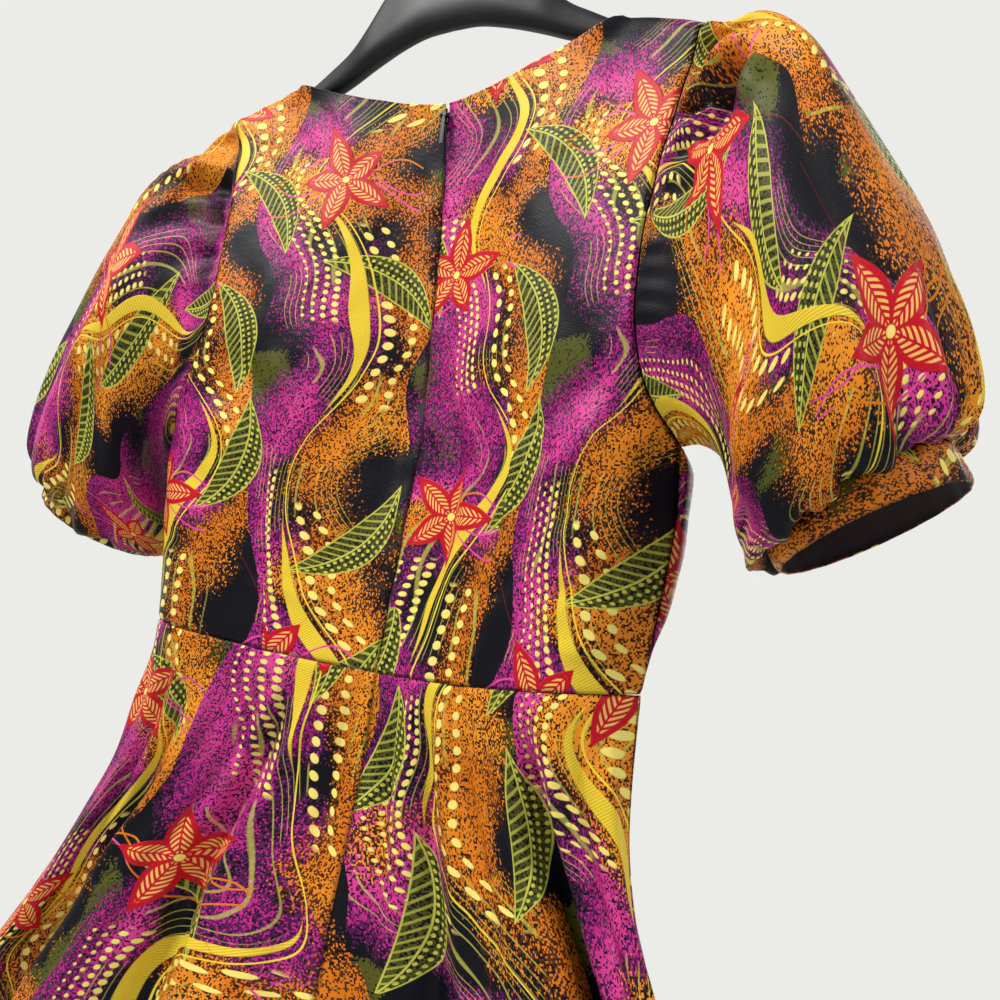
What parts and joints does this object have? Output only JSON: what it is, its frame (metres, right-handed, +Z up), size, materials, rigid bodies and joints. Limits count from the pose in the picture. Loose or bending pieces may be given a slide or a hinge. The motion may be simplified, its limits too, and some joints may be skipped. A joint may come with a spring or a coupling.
{
  "type": "babydoll blouse on hanger",
  "caption": "Fitted puff-sleeved garment with a scooped back, a waist seam, a flared skirt part and a back zip, hanging on a moulded hanger.",
  "frame": {"origin": "inner top of the hanger's hook, where the rail carries it", "axes": "+Z up, -Y out of the garment's back, +X towards the wearer's right"},
  "size_m": [0.6987, 0.1782, 0.9691],
  "materials": {
    "bodice_back_left": "satin jacquard",
    "bodice_back_right": "satin jacquard",
    "bodice_front": "satin jacquard",
    "cuff_left": "satin jacquard",
    "cuff_right": "satin jacquard",
    "hanger_body": "satin",
    "hanger_hook": "satin",
    "skirt_back_left": "satin jacquard",
    "skirt_back_right": "satin jacquard",
    "skirt_front": "satin jacquard",
    "sleeve_left": "satin jacquard",
    "sleeve_right": "satin jacquard",
    "zip_pull": "satin",
    "zip_slider": "satin",
    "zip_tape_left": "matte",
    "zip_tape_right": "matte"
  },
  "bodies": {
    "garment": {"bodice_back_left": "bodice_back_left", "bodice_back_right": "bodice_back_right", "bodice_front": "bodice_front", "cuff_left": "cuff_left", "cuff_right": "cuff_right", "hanger_body": "hanger_body", "hanger_hook": "hanger_hook", "skirt_back_left": "skirt_back_left", "skirt_back_right": "skirt_back_right", "skirt_front": "skirt_front", "sleeve_left": "sleeve_left", "sleeve_right": "sleeve_right", "zip_slider": "zip_slider", "zip_tape_left": "zip_tape_left", "zip_tape_right": "zip_tape_right"},
    "pull": {"zip_pull": "zip_pull"}
  },
  "joints": [
    {"name": "pull_swing", "type": "hinge", "parent": "garment", "child": "pull", "pos_m": [0, 0.00421, -0.1982], "axis": [-1, 0, 0], "range_deg": [0, 150]}
  ]
}
